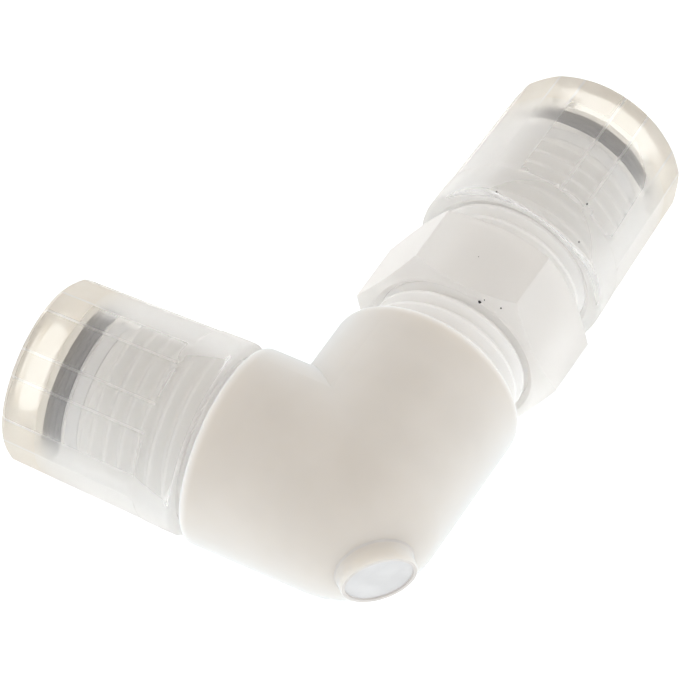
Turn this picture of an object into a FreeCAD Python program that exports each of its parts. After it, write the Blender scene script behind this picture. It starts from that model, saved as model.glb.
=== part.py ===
"""Elbow bulkhead compression fitting for 12 mm plastic tube.

A moulded 90 degree elbow carries a threaded shank on each arm. The short arm ends in a tube
connection. The long arm passes through a panel, is clamped there by a hexagonal panel nut, and
ends in the same tube connection. Each connection has a seal cone in the mouth of the shank, a
split grip ring behind it, and a faceted union nut that drives both towards the elbow.

Frame: the long arm's axis is X, and +X points out of its mouth. The short arm points along +Y.
The fitting lies flat, with +Z up. The origin is on the long arm's axis, in the plane of the
shoulder that seats on the panel. Every length is in millimetres and every angle in degrees.
"""

import FreeCAD, Part
import math
import os

from FreeCAD import Vector

# Elbow body
LEG_RADIUS = 12.4              # the two round legs and the ball that joins them
SHORT_LEG_LENGTH = 15.7        # from the crossing of the axes to the short leg's rim
LONG_LEG_LENGTH = 19.8         # from the crossing to the shoulder that meets the panel
LEG_RIM_CHAMFER = 0.6          # broken edge of both leg ends
TUBE_STOP_WIDTH = 1.55         # step from the tube socket down to the flow passage

# Gate stub: the stump left where the moulding was snipped from its runner
GATE_RADIUS = 4.75
GATE_HEIGHT = 1.1              # middle of the snipped face, above the ball
GATE_SLANT = 14.0              # the snip leans, so that the stump is longer on top

# Threaded shanks, M20 x 2, drawn as plain cylinders of the thread's outer diameter, 20 mm
SHOULDER_WIDTH = 2.4           # flat ring round the thread, which seats on the panel
THREAD_RUNNING_GAP = 0.05      # radial clearance between a shank and a nut
SHANK_END_CHAMFER = 1.0
SHANK_IN_NUT = 14.2            # length of shank that a union nut covers when hand tight

# Socket for 12 mm tube in the mouth of each shank
SHANK_WALL = 3.95              # from the thread's outer diameter to the socket
SOCKET_CLEARANCE = 0.05        # radial clearance between the tube and its socket
SOCKET_LENGTH = 10.0
SEAT_RIM_WIDTH = 1.8           # wall left round the mouth of the conical seat
SEAT_ANGLE = 25.0              # half angle of that cone

# Union nut, one moulding used on both arms
NUT_STEP = 0.2                 # the facet edges at the nut's rear are this far inside the leg
NUT_TAPER = 0.6                # and this much further inside at its front
NUT_COLLAR_LENGTH = 4.9        # round band at the rear
NUT_COLLAR_ROUND = 0.7
NUT_WIDE_FACET = 27.5          # the facets alternate, wide and narrow
NUT_FACET_PAIRS = 8
NUT_FRONT_CHAMFER = 0.8
NUT_FRONT_WALL = 3.4           # thickness that guides the tube
NUT_TUBE_CLEARANCE = 0.2       # radial
NUT_MOUTH_CHAMFER = 0.6
NUT_THREAD_SPARE = 1.2         # the nut's thread runs this far past the end of the shank
NUT_CAVITY_STEP = 1.08         # step from the thread down to the smooth cavity in front of it
NUT_CONE_LENGTH = 1.6          # cone at the end of the cavity that closes the grip ring
NUT_CONE_DEPTH = 1.62          # step from the cavity down to the cone's narrow end
SHORT_NUT_GAP = 1.2            # from the short leg's rim to its union nut
SHORT_NUT_ANGLE = 4.2          # middle of a narrow facet, turned from +Z about the arm
LONG_NUT_ANGLE = 27.6

# Panel nut
PANEL_SPACE = 6.1              # from the shoulder to the panel nut as it stands
HEX_STEP = 0.65                # its flats are this far inside the leg
HEX_LENGTH = 10.9
HEX_CHAMFER_ANGLE = 30.0
HEX_FACE_SHARE = 0.96          # chamfer circle on the end face, against the width across flats
HEX_THREAD_CHAMFER = 0.7
HEX_ANGLE = -25.2              # a corner, turned from +Z about the arm
HEX_TO_LONG_NUT = 4.1          # bare thread between the panel nut and the long arm's union nut

# Seal cone and grip ring
INNER_GAP = 0.05               # gap between neighbours inside a nut
FERRULE_TUBE_CLEARANCE = 0.12  # radial
SEAL_FLANGE_CLEARANCE = 0.32   # radial, inside the nut's cavity
SEAL_FLANGE_LENGTH = 1.9
SEAL_NOSE_CUT = 0.8            # the seal cone stops this far short of the seat's narrow end
SEAL_RECESS_DEPTH = 0.9        # dish in the flange that takes the grip ring's nose
SEAL_RECESS_RIM = 0.7          # wall left round the dish
SEAL_RECESS_TAPER = 0.9        # the dish's floor is this much narrower than its mouth
RING_LENGTH = 3.7              # without its nose
RING_NOSE_CLEARANCE = 0.1      # radial, in the dish
RING_SLOT = 1.4                # the ring is split so that it can close on the tube
RING_SLOT_ANGLE = 200.0        # turned from +Z about the arm
RING_GROOVES = 3               # grooves in its bore leave the teeth that bite the tube
RING_GROOVE_DEPTH = 0.35

CUT_SPARE = 2.0                # a cutting shape runs this far past the face that it opens

# Values that follow from the sizes above
gate_reach = LEG_RADIUS + GATE_HEIGHT
thread_radius = LEG_RADIUS - SHOULDER_WIDTH
socket_radius = thread_radius - SHANK_WALL
tube_radius = socket_radius - SOCKET_CLEARANCE
flow_radius = socket_radius - TUBE_STOP_WIDTH
seat_mouth_radius = thread_radius - SEAT_RIM_WIDTH
nut_rear_radius = LEG_RADIUS - NUT_STEP
nut_front_radius = nut_rear_radius - NUT_TAPER
nut_thread_bore = thread_radius + THREAD_RUNNING_GAP
nut_cavity_radius = thread_radius - NUT_CAVITY_STEP
nut_cone_end_radius = nut_cavity_radius - NUT_CONE_DEPTH
nut_tube_bore = tube_radius + NUT_TUBE_CLEARANCE
hex_flat_radius = LEG_RADIUS - HEX_STEP
ferrule_bore = tube_radius + FERRULE_TUBE_CLEARANCE
seal_flange_radius = nut_cavity_radius - SEAL_FLANGE_CLEARANCE
seal_recess_radius = seal_flange_radius - SEAL_RECESS_RIM
seal_floor_radius = seal_recess_radius - SEAL_RECESS_TAPER
ring_nose_radius = seal_floor_radius - RING_NOSE_CLEARANCE
nut_thread_length = SHANK_IN_NUT + NUT_THREAD_SPARE
seat_slope = math.tan(math.radians(SEAT_ANGLE))
seat_length = (seat_mouth_radius - socket_radius) / seat_slope
flange_start = SHANK_IN_NUT + INNER_GAP
flange_end = flange_start + SEAL_FLANGE_LENGTH
ring_start = flange_end + INNER_GAP
ring_end = ring_start + RING_LENGTH
nut_cavity_end = ring_end + INNER_GAP
nut_length = nut_cavity_end + NUT_FRONT_WALL
short_nut_rear = SHORT_LEG_LENGTH + SHORT_NUT_GAP
hex_rear = LONG_LEG_LENGTH + PANEL_SPACE
long_nut_rear = hex_rear + HEX_LENGTH + HEX_TO_LONG_NUT
short_shank_end = short_nut_rear + SHANK_IN_NUT
long_shank_end = long_nut_rear + SHANK_IN_NUT

# Each arm is modelled along X from the crossing, and then put in its place
AXIS = Vector(1, 0, 0)
UP = Vector(0, 0, 1)
CROSSING = Vector(-LONG_LEG_LENGTH, 0, 0)
LONG_ARM = FreeCAD.Placement(CROSSING, FreeCAD.Rotation(UP, 0))
SHORT_ARM = FreeCAD.Placement(CROSSING, FreeCAD.Rotation(UP, 90))


def revolved(profile):
    """Turn a closed outline of (distance along the axis, radius) points into a round solid."""
    points = [Vector(along, radius, 0) for along, radius in profile]
    outline = Part.makePolygon(points + points[:1])
    return Part.Face(outline).revolve(Vector(0, 0, 0), AXIS, 360)


def cylinder(radius, start, end):
    """Round bar on the axis, from one distance to another."""
    return Part.makeCylinder(radius, end - start, Vector(start, 0, 0), AXIS)


def edges_at(shape, along, radius):
    """Circular edges of a solid on the axis, found by their place and radius."""
    found = []
    for edge in shape.Edges:
        if not isinstance(edge.Curve, Part.Circle):
            continue
        centre = edge.Curve.Center
        if abs(centre.x - along) < 1e-6 and abs(edge.Curve.Radius - radius) < 1e-6:
            found.append(edge)
    return found


def point_around(along, radius, angle):
    """Point at an angle turned from +Z about the arm's outward axis."""
    turn = math.radians(angle)
    return Vector(along, -radius * math.sin(turn), radius * math.cos(turn))


def placed(shape, arm):
    """Move a solid from the arm's own frame to its place on the fitting."""
    moved = shape.copy()
    moved.Placement = arm.multiply(moved.Placement)
    return moved


def leg(length):
    """One round leg with a broken rim edge, from the crossing outwards."""
    bar = cylinder(LEG_RADIUS, 0, length)
    return bar.makeChamfer(LEG_RIM_CHAMFER, edges_at(bar, length, LEG_RADIUS))


def shank(start, end):
    """Threaded shank, as a plain bar with a chamfered end."""
    bar = cylinder(thread_radius, start, end)
    return bar.makeChamfer(SHANK_END_CHAMFER, edges_at(bar, end, thread_radius))


def passage(end):
    """Hollow of one arm: conical seat, tube socket with its stop, and the flow passage.

    The passage ends flat, a little past the crossing, where the mould's two core pins met.
    """
    seat_start = end - seat_length
    socket_start = seat_start - SOCKET_LENGTH
    return revolved([
        (-flow_radius, 0),
        (-flow_radius, flow_radius),
        (socket_start, flow_radius),
        (socket_start, socket_radius),
        (seat_start, socket_radius),
        (end, seat_mouth_radius),
        (end + CUT_SPARE, seat_mouth_radius),
        (end + CUT_SPARE, 0),
    ])


def gate_stub():
    """Stump of the moulding gate on the outer corner, snipped at a slant."""
    bar = cylinder(GATE_RADIUS, 0, gate_reach + LEG_RADIUS)
    knife_size = 4 * LEG_RADIUS
    knife = Part.makeBox(knife_size, knife_size, knife_size)
    knife.translate(Vector(0, -knife_size / 2, -knife_size / 2))
    knife.rotate(Vector(0, 0, 0), Vector(0, 1, 0), GATE_SLANT)
    knife.translate(Vector(gate_reach, 0, 0))
    stub = bar.cut(knife)
    outer_corner = FreeCAD.Placement(CROSSING, FreeCAD.Rotation(UP, 225))
    return placed(stub, outer_corner)


def elbow_body():
    """The moulded elbow with both threaded shanks, their passages and the gate stump."""
    corner = Part.makeSphere(LEG_RADIUS, CROSSING)
    solids = [
        placed(leg(SHORT_LEG_LENGTH), SHORT_ARM),
        placed(leg(LONG_LEG_LENGTH), LONG_ARM),
        placed(shank(0, short_shank_end), SHORT_ARM),
        placed(shank(0, long_shank_end), LONG_ARM),
        gate_stub(),
    ]
    hollows = [
        placed(passage(short_shank_end), SHORT_ARM),
        placed(passage(long_shank_end), LONG_ARM),
    ]
    return corner.multiFuse(solids).removeSplitter().cut(hollows)


def nut_edge_radius(along):
    """Radius of the circle through the facet edges, which tapers towards the front."""
    share = along / nut_length
    return nut_rear_radius + (nut_front_radius - nut_rear_radius) * share


def facet_corners(along):
    """Corners between the union nut's facets, from a narrow facet centred on +Z."""
    pair_angle = 360 / NUT_FACET_PAIRS
    narrow_half = (pair_angle - NUT_WIDE_FACET) / 2
    points = []
    for pair in range(NUT_FACET_PAIRS):
        for side in (-narrow_half, narrow_half):
            points.append(point_around(along, nut_edge_radius(along), pair * pair_angle + side))
    return points


def faceted_bar():
    """Tapered bar with flat facets, as long as the union nut."""
    rear = facet_corners(0)
    front = facet_corners(nut_length)
    outlines = [rear, front]
    for number in range(len(rear)):
        before = number - 1
        outlines.append([rear[before], rear[number], front[number], front[before]])
    faces = [Part.Face(Part.makePolygon(points + points[:1])) for points in outlines]
    return Part.Solid(Part.makeShell(faces))


def nut_cone_radius(along):
    """Radius of the cone that closes the grip ring, at a distance from the nut's rear."""
    cone_start = nut_cavity_end - NUT_CONE_LENGTH
    share = (along - cone_start) / NUT_CONE_LENGTH
    return nut_cavity_radius + (nut_cone_end_radius - nut_cavity_radius) * share


def union_nut():
    """Faceted nut, with its rear at zero and its front face at the nut's length."""
    front_limit = revolved([
        (0, 0),
        (0, 2 * nut_rear_radius),
        (nut_length - NUT_FRONT_CHAMFER, 2 * nut_rear_radius),
        (nut_length - NUT_FRONT_CHAMFER, nut_front_radius),
        (nut_length, nut_front_radius - NUT_FRONT_CHAMFER),
        (nut_length, 0),
    ])
    collar_end = NUT_COLLAR_LENGTH + NUT_COLLAR_ROUND
    collar = revolved([
        (0, 0),
        (0, nut_rear_radius - NUT_COLLAR_ROUND),
        (NUT_COLLAR_ROUND, nut_rear_radius),
        (NUT_COLLAR_LENGTH, nut_edge_radius(NUT_COLLAR_LENGTH)),
        (collar_end, nut_edge_radius(collar_end) - NUT_COLLAR_ROUND),
        (collar_end, 0),
    ])
    rear_limit = revolved([
        (0, 0),
        (0, nut_rear_radius - NUT_COLLAR_ROUND),
        (NUT_COLLAR_ROUND, nut_rear_radius),
        (nut_length, nut_rear_radius),
        (nut_length, 0),
    ])
    facets = faceted_bar().common(front_limit).common(rear_limit)
    outside = facets.fuse(collar).removeSplitter()
    step_end = nut_thread_length + nut_thread_bore - nut_cavity_radius
    inside = revolved([
        (0, 0),
        (0, nut_thread_bore + NUT_MOUTH_CHAMFER),
        (NUT_MOUTH_CHAMFER, nut_thread_bore),
        (nut_thread_length, nut_thread_bore),
        (step_end, nut_cavity_radius),
        (nut_cavity_end - NUT_CONE_LENGTH, nut_cavity_radius),
        (nut_cavity_end, nut_cone_end_radius),
        (nut_cavity_end, nut_tube_bore),
        (nut_length - NUT_MOUTH_CHAMFER, nut_tube_bore),
        (nut_length, nut_tube_bore + NUT_MOUTH_CHAMFER),
        (nut_length + CUT_SPARE, nut_tube_bore + NUT_MOUTH_CHAMFER),
        (nut_length + CUT_SPARE, 0),
    ])
    return outside.cut(inside)


def seal_cone():
    """Seal cone in the nut's frame: a nose for the conical seat, and a dished flange."""
    nose_gap = INNER_GAP / math.cos(math.radians(SEAT_ANGLE))
    nose_start = SHANK_IN_NUT - seat_length + SEAL_NOSE_CUT
    nose_tip_radius = socket_radius + SEAL_NOSE_CUT * seat_slope - nose_gap
    recess_floor = flange_end - SEAL_RECESS_DEPTH
    return revolved([
        (nose_start, ferrule_bore),
        (nose_start, nose_tip_radius),
        (SHANK_IN_NUT, seat_mouth_radius - nose_gap),
        (flange_start, seat_mouth_radius - nose_gap),
        (flange_start, seal_flange_radius),
        (flange_end, seal_flange_radius),
        (flange_end, seal_recess_radius),
        (recess_floor, seal_floor_radius),
        (recess_floor, ferrule_bore),
    ])


def grip_ring():
    """Split ring in the nut's frame: a nose for the seal cone's dish, a cone for the nut's end."""
    nose = ring_start - SEAL_RECESS_DEPTH
    nose_shoulder_radius = ring_nose_radius + seal_recess_radius - seal_floor_radius
    ring_radius = nut_cavity_radius - INNER_GAP
    cone_start = nut_cavity_end - NUT_CONE_LENGTH - INNER_GAP
    ring = revolved([
        (nose, ferrule_bore),
        (nose, ring_nose_radius),
        (ring_start, nose_shoulder_radius),
        (ring_start, ring_radius),
        (cone_start, ring_radius),
        (ring_end, nut_cone_radius(ring_end) - INNER_GAP),
        (ring_end, ferrule_bore),
    ])
    groove_pitch = (ring_end - nose) / (RING_GROOVES + 1)
    cuts = []
    for number in range(RING_GROOVES):
        edge = nose + groove_pitch * (number + 1)
        cuts.append(revolved([
            (edge - groove_pitch / 2, ferrule_bore),
            (edge + groove_pitch / 2, ferrule_bore + RING_GROOVE_DEPTH),
            (edge + groove_pitch / 2, ferrule_bore),
        ]))
    slot = Part.makeBox(nut_length, RING_SLOT, nut_rear_radius, Vector(0, -RING_SLOT / 2, 0))
    slot.rotate(Vector(0, 0, 0), AXIS, RING_SLOT_ANGLE)
    return ring.cut(cuts + [slot])


def panel_nut():
    """Hexagonal nut, with its rear at zero, chamfered at both ends."""
    corner_radius = hex_flat_radius / math.cos(math.radians(30))
    corners = [point_around(0, corner_radius, HEX_ANGLE + 60 * number) for number in range(6)]
    prism = Part.Face(Part.makePolygon(corners + corners[:1])).extrude(AXIS * HEX_LENGTH)
    face_radius = hex_flat_radius * HEX_FACE_SHARE
    drop = (corner_radius - face_radius) * math.tan(math.radians(HEX_CHAMFER_ANGLE))
    limit = revolved([
        (0, 0),
        (0, face_radius),
        (drop, corner_radius),
        (HEX_LENGTH - drop, corner_radius),
        (HEX_LENGTH, face_radius),
        (HEX_LENGTH, 0),
    ])
    bore = revolved([
        (0, 0),
        (0, nut_thread_bore + HEX_THREAD_CHAMFER),
        (HEX_THREAD_CHAMFER, nut_thread_bore),
        (HEX_LENGTH - HEX_THREAD_CHAMFER, nut_thread_bore),
        (HEX_LENGTH, nut_thread_bore + HEX_THREAD_CHAMFER),
        (HEX_LENGTH, 0),
    ])
    return prism.common(limit).cut(bore)


def along_arm(shape, arm, distance, turn=0):
    """Turn a piece about its own axis, slide it out from the crossing, and put it on its arm."""
    piece = shape.copy()
    piece.rotate(Vector(0, 0, 0), AXIS, turn)
    piece.translate(AXIS * distance)
    return placed(piece, arm)


def export(shape, name):
    """Write one piece, after making sure that it is one sound solid."""
    if not shape.isValid() or len(shape.Solids) != 1:
        raise ValueError(name + " is not one valid solid")
    solid = shape.Solids[0]
    solid.exportStep("parts/" + name + ".step")
    box = solid.BoundBox
    print(f"{name}: volume {solid.Volume:.1f}, x {box.XMin:.2f} to {box.XMax:.2f}, "
          f"y {box.YMin:.2f} to {box.YMax:.2f}, z {box.ZMin:.2f} to {box.ZMax:.2f}")


os.makedirs("parts", exist_ok=True)
export(elbow_body(), "elbow_body")
export(along_arm(panel_nut(), LONG_ARM, hex_rear), "panel_nut")
connections = [
    ("short_arm", SHORT_ARM, short_nut_rear, SHORT_NUT_ANGLE),
    ("long_arm", LONG_ARM, long_nut_rear, LONG_NUT_ANGLE),
]
for arm_name, arm, nut_rear, nut_angle in connections:
    export(along_arm(union_nut(), arm, nut_rear, nut_angle), "union_nut_" + arm_name)
    export(along_arm(grip_ring(), arm, nut_rear), "grip_ring_" + arm_name)
    export(along_arm(seal_cone(), arm, nut_rear), "seal_cone_" + arm_name)
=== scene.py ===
# %% [markdown]
# # An elbow fitting for plastic tube
# A milky, moulded elbow lies on a lit table. Each of its two arms has a thread with a clear,
# faceted nut on it, and the long arm has a clear hexagonal nut too. This lesson dresses the CAD
# model of that fitting: it measures the CAD pieces, builds each visible piece again with its
# threads, rounded edges and dirt, and gives each one a finish made of nodes.

# %% Load the CAD model as a fixed frame
import math
import random

import bmesh
import bpy
from mathutils import Matrix, Vector


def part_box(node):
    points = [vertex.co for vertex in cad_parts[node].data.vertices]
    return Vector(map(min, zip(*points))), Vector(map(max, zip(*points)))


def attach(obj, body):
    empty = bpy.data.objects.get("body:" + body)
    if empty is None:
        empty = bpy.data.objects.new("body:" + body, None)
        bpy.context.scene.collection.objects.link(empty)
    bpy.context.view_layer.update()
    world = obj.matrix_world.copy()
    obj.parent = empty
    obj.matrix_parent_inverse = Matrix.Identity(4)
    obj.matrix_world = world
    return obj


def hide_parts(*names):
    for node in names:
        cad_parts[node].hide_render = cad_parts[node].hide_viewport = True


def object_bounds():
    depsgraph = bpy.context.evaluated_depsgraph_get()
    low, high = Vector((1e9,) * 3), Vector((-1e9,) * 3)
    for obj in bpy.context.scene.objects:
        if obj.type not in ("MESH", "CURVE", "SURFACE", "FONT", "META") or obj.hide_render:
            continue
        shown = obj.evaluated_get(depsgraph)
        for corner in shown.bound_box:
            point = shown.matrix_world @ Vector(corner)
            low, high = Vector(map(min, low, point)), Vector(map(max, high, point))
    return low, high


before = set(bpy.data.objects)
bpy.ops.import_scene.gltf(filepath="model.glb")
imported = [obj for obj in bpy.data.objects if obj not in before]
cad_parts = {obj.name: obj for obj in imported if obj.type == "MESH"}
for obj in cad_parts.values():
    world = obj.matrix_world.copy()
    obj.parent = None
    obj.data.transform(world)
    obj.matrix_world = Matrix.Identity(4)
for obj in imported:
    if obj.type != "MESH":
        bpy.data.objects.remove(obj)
cad_low, cad_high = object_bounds()

# %% [markdown]
# ## Where things are
# Both arms are round about an axis, so every piece is easiest to describe by how far along its
# arm it is, how far from the axis, and at what angle. The angle starts at the top and grows the
# way a right-handed screw turns as it moves outwards. Lengths are in millimetres while a piece is
# made, and become metres at the end. The places come from the CAD boxes, so a change there
# carries over. Only the short leg's end lies inside its box, so its length is written here.

# %% The two arms
MM = 0.001
QUARTER = math.pi / 2
FULL_TURN = 2 * math.pi
short_nut_low, short_nut_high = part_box("union_nut_short_arm")
long_nut_low, long_nut_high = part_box("union_nut_long_arm")
hex_low, hex_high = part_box("panel_nut")
body_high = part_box("elbow_body")[1]
crossing = Vector(((short_nut_low.x + short_nut_high.x) / 2, 0, 0)) / MM
LONG_ARM = Matrix.Translation(crossing)
SHORT_ARM = Matrix.Translation(crossing) @ Matrix.Rotation(QUARTER, 4, "Z")

SHORT_LEG = 15.7
long_leg = -crossing.x
leg_radius = body_high.z / MM
short_shank_end = body_high.y / MM
long_shank_end = body_high.x / MM - crossing.x
short_nut_rear = short_nut_low.y / MM
long_nut_rear = long_nut_low.x / MM - crossing.x
nut_length = (long_nut_high.x - long_nut_low.x) / MM
hex_rear = hex_low.x / MM - crossing.x
hex_length = (hex_high.x - hex_low.x) / MM
shank_in_nut = short_shank_end - short_nut_rear
seal_nose, flange_end = [corner.y / MM - short_nut_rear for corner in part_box("seal_cone_short_arm")]
ring_nose, ring_end = [corner.y / MM - short_nut_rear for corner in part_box("grip_ring_short_arm")]
print(f"legs {SHORT_LEG:.1f} and {long_leg:.1f} mm long, {leg_radius:.1f} mm in radius")
print(f"union nuts {nut_length:.2f} mm long, panel nut {hex_length:.2f} mm long")
print(f"in a union nut: shank to {shank_in_nut:.2f}, seal {seal_nose:.2f} to {flange_end:.2f}, "
      f"ring {ring_nose:.2f} to {ring_end:.2f}")


def polar(along, radius, angle):
    """Point on an arm, from its distance along, its radius, and its angle from the top."""
    return Vector((along, -radius * math.sin(angle), radius * math.cos(angle)))


# %% [markdown]
# ## The camera
# The photograph looks down on the outer corner from about 48 degrees, through a long lens. The
# place and the lens were found by fitting the outlines of the legs and the nuts.

# %% Camera
CAMERA_PLACE = Vector((-423.124, -212.232, 537.913)) * MM
CAMERA_RIGHT = Vector((0.47962, -0.87739, 0.01204))
CAMERA_UP = Vector((0.65098, 0.36499, 0.66559))
CAMERA_LENS = 320.5
SENSOR_WIDTH = 36.0

camera_back = CAMERA_RIGHT.cross(CAMERA_UP).normalized()
camera_up = camera_back.cross(CAMERA_RIGHT).normalized()
camera_turn = Matrix((CAMERA_RIGHT.normalized(), camera_up, camera_back)).transposed()
camera = bpy.data.objects.new("camera", bpy.data.cameras.new("camera"))
bpy.context.scene.collection.objects.link(camera)
camera.matrix_world = Matrix.Translation(CAMERA_PLACE) @ camera_turn.to_4x4()
camera.data.sensor_width = SENSOR_WIDTH
camera.data.lens = CAMERA_LENS
camera.data.clip_start = 0.01
bpy.context.scene.camera = camera
print("camera", tuple(round(v, 3) for v in camera.location))

# %% [markdown]
# ## Skins made of rings
# A turned or moulded round piece is a stack of rings. Each ring is a list of points, and faces
# join each ring to the next. Where two rings have different numbers of points, a zip of triangles
# joins them. When all is in place, points that coincide are merged, which closes the skin, and the
# normals are turned outwards.

# %% Rings
MERGE_DISTANCE = 0.001
SMOOTH_ANGLE = math.radians(32)


def even_angles(count):
    """Angles of evenly spaced columns round an arm."""
    return [FULL_TURN * number / count for number in range(count)]


def ring(arm, angles, along, radius):
    """One ring on an arm. along and radius are numbers, or functions of the angle."""
    points = []
    for angle in angles:
        place = along(angle) if callable(along) else along
        size = radius(angle) if callable(radius) else radius
        points.append(arm @ polar(place, size, angle))
    return points


def add_rings(skin, rings):
    """Join a list of rings with faces, and return their corners."""
    rows = [[skin.verts.new(point) for point in points] for points in rings]
    for row, following in zip(rows, rows[1:]):
        for number in range(len(row)):
            after = (number + 1) % len(row)
            skin.faces.new((row[number], row[after], following[after], following[number]))
    return rows


# %% [markdown]
# Two rows with different numbers of points can't share four-sided faces. A zip walks round both
# rows at once, and always steps on in the row whose next point comes first, so that no triangle
# becomes long and thin. Outlines are lists of points too, and a rounded corner is a short arc.

# %% Zips and arcs
def zip_rows(skin, row, row_angles, other, other_angles):
    """Join two rows that have different numbers of points with a band of triangles."""
    row_ends = row_angles + [row_angles[0] + FULL_TURN]
    other_ends = other_angles + [other_angles[0] + FULL_TURN]
    at = 0
    there = 0
    while at < len(row) or there < len(other):
        corner = row[at % len(row)]
        far_corner = other[there % len(other)]
        step_here = at < len(row) and (
            there >= len(other) or row_ends[at + 1] <= other_ends[there + 1])
        if step_here:
            at += 1
            skin.faces.new((corner, row[at % len(row)], far_corner))
        else:
            there += 1
            skin.faces.new((corner, other[there % len(other)], far_corner))


def arc(centre_along, centre_radius, size, start, end, steps):
    """Points of a rounded corner in a profile, as (along, radius) pairs."""
    points = []
    for number in range(steps + 1):
        turn = start + (end - start) * number / steps
        points.append((centre_along + size * math.cos(turn), centre_radius + size * math.sin(turn)))
    return points


# %% [markdown]
# One function ends every piece, so that all are cleaned in the same way. Smooth shading hides the
# small steps between faces, while edges sharper than 32 degrees stay crisp. The function also
# counts edges that don't join exactly two faces, because none may be left in a closed piece.

# %% From a skin to a piece
def finished(skin, name, *materials):
    """Merge a skin's points, turn its faces outwards, scale it to metres and make its object."""
    bmesh.ops.remove_doubles(skin, verts=skin.verts, dist=MERGE_DISTANCE)
    bmesh.ops.dissolve_degenerate(skin, edges=skin.edges, dist=MERGE_DISTANCE / 2)
    bmesh.ops.recalc_face_normals(skin, faces=skin.faces)
    skin.transform(Matrix.Scale(MM, 4))
    open_edges = sum(1 for edge in skin.edges if len(edge.link_faces) != 2)
    triangles = sum(len(face.verts) - 2 for face in skin.faces)
    mesh = bpy.data.meshes.new(name)
    skin.to_mesh(mesh)
    skin.free()
    mesh.shade_smooth()
    mesh.set_sharp_from_angle(angle=SMOOTH_ANGLE)
    for material in materials:
        mesh.materials.append(material)
    piece = bpy.data.objects.new(name, mesh)
    bpy.context.scene.collection.objects.link(piece)
    print(f"{name}: {triangles} triangles, {open_edges} open or crowded edges")
    return piece


# %% [markdown]
# ## Finishes
# Moulded plastic is never quite even. Two effects serve every piece: a cloudy drift between two
# colours, which milky plastic shows over some millimetres, and the slow swell and fine pits of a
# moulded surface. Each is a node group, built once and used with its own values. The shaders
# stay in the materials.

# %% Node helpers
def put(tree, kind, settings=None, inputs=None):
    """Add a node. An input is a number or colour, or another node's output to link."""
    node = tree.nodes.new(kind)
    for key, value in (settings or {}).items():
        setattr(node, key, value)
    for key, value in (inputs or {}).items():
        if isinstance(value, bpy.types.NodeSocket):
            tree.links.new(value, node.inputs[key])
        else:
            node.inputs[key].default_value = value
    return node


def calc(tree, operation, *terms):
    """Add a math node, and return its output."""
    node = put(tree, "ShaderNodeMath", {"operation": operation}, dict(enumerate(terms)))
    return node.outputs[0]


def new_group(name, kind, inputs, outputs):
    """Start a node group with named sockets, and return it with its input and output nodes."""
    tree = bpy.data.node_groups.new(name, kind)
    for label, (socket_type, value) in inputs.items():
        socket = tree.interface.new_socket(label, in_out="INPUT", socket_type=socket_type)
        if value is not None:
            socket.default_value = value
    for label, socket_type in outputs.items():
        tree.interface.new_socket(label, in_out="OUTPUT", socket_type=socket_type)
    return tree, tree.nodes.new("NodeGroupInput"), tree.nodes.new("NodeGroupOutput")


# %% [markdown]
# The cloudy group reads Object coordinates in metres, so its scale is how many clouds fit into a
# metre. The moulded group gives a height for the bump, and a roughness that follows the pits.

# %% Two groups for every plastic
FLOAT = "NodeSocketFloat"
COLOUR = "NodeSocketColor"
VECTOR = "NodeSocketVector"

cloudy, given, result = new_group(
    "cloudy_plastic", "ShaderNodeTree",
    {"Vector": (VECTOR, None), "Scale": (FLOAT, 120.0),
     "Thin": (COLOUR, (1, 1, 1, 1)), "Thick": (COLOUR, (0.8, 0.8, 0.8, 1))},
    {"Color": COLOUR})
clouds = put(cloudy, "ShaderNodeTexNoise", None, {
    "Vector": given.outputs["Vector"], "Scale": given.outputs["Scale"],
    "Detail": 3.0, "Roughness": 0.5})
drift = put(cloudy, "ShaderNodeMapRange", {"interpolation_type": "SMOOTHSTEP"}, {
    "Value": clouds.outputs["Fac"], "From Min": 0.3, "From Max": 0.7})
blend = put(cloudy, "ShaderNodeMix", {"data_type": "RGBA"}, {"Factor": drift.outputs["Result"]})
cloudy.links.new(given.outputs["Thin"], blend.inputs[6])
cloudy.links.new(given.outputs["Thick"], blend.inputs[7])
cloudy.links.new(blend.outputs[2], result.inputs["Color"])

moulded, given, result = new_group(
    "moulded_surface", "ShaderNodeTree",
    {"Vector": (VECTOR, None), "Swell": (FLOAT, 0.5), "Pits": (FLOAT, 0.3),
     "Roughness": (FLOAT, 0.3), "Spread": (FLOAT, 0.08)},
    {"Height": FLOAT, "Roughness": FLOAT})
swell = put(moulded, "ShaderNodeTexNoise", None, {
    "Vector": given.outputs["Vector"], "Scale": 260.0, "Detail": 2.0})
pits = put(moulded, "ShaderNodeTexNoise", None, {
    "Vector": given.outputs["Vector"], "Scale": 2600.0, "Detail": 4.0, "Roughness": 0.6})
swell_part = calc(moulded, "MULTIPLY", swell.outputs["Fac"], given.outputs["Swell"])
pits_part = calc(moulded, "MULTIPLY", pits.outputs["Fac"], given.outputs["Pits"])
moulded.links.new(calc(moulded, "ADD", swell_part, pits_part), result.inputs["Height"])
centred = calc(moulded, "SUBTRACT", pits.outputs["Fac"], 0.5)
shift = calc(moulded, "MULTIPLY", centred, given.outputs["Spread"])
moulded.links.new(calc(moulded, "ADD", shift, given.outputs["Roughness"]),
                  result.inputs["Roughness"])
print("groups:", cloudy.name, moulded.name)

# %% [markdown]
# The colour also changes along an arm: a thin shank lets more light through than the thick
# body, and a nut's thick front wall is creamier than its thin skirt. The third group turns two
# distances, one for each arm, into a mask that rises from 0 to 1 past them. The body's mask
# starts a little before the ends of its legs, and the nuts' a little past the ends of the shanks.

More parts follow.
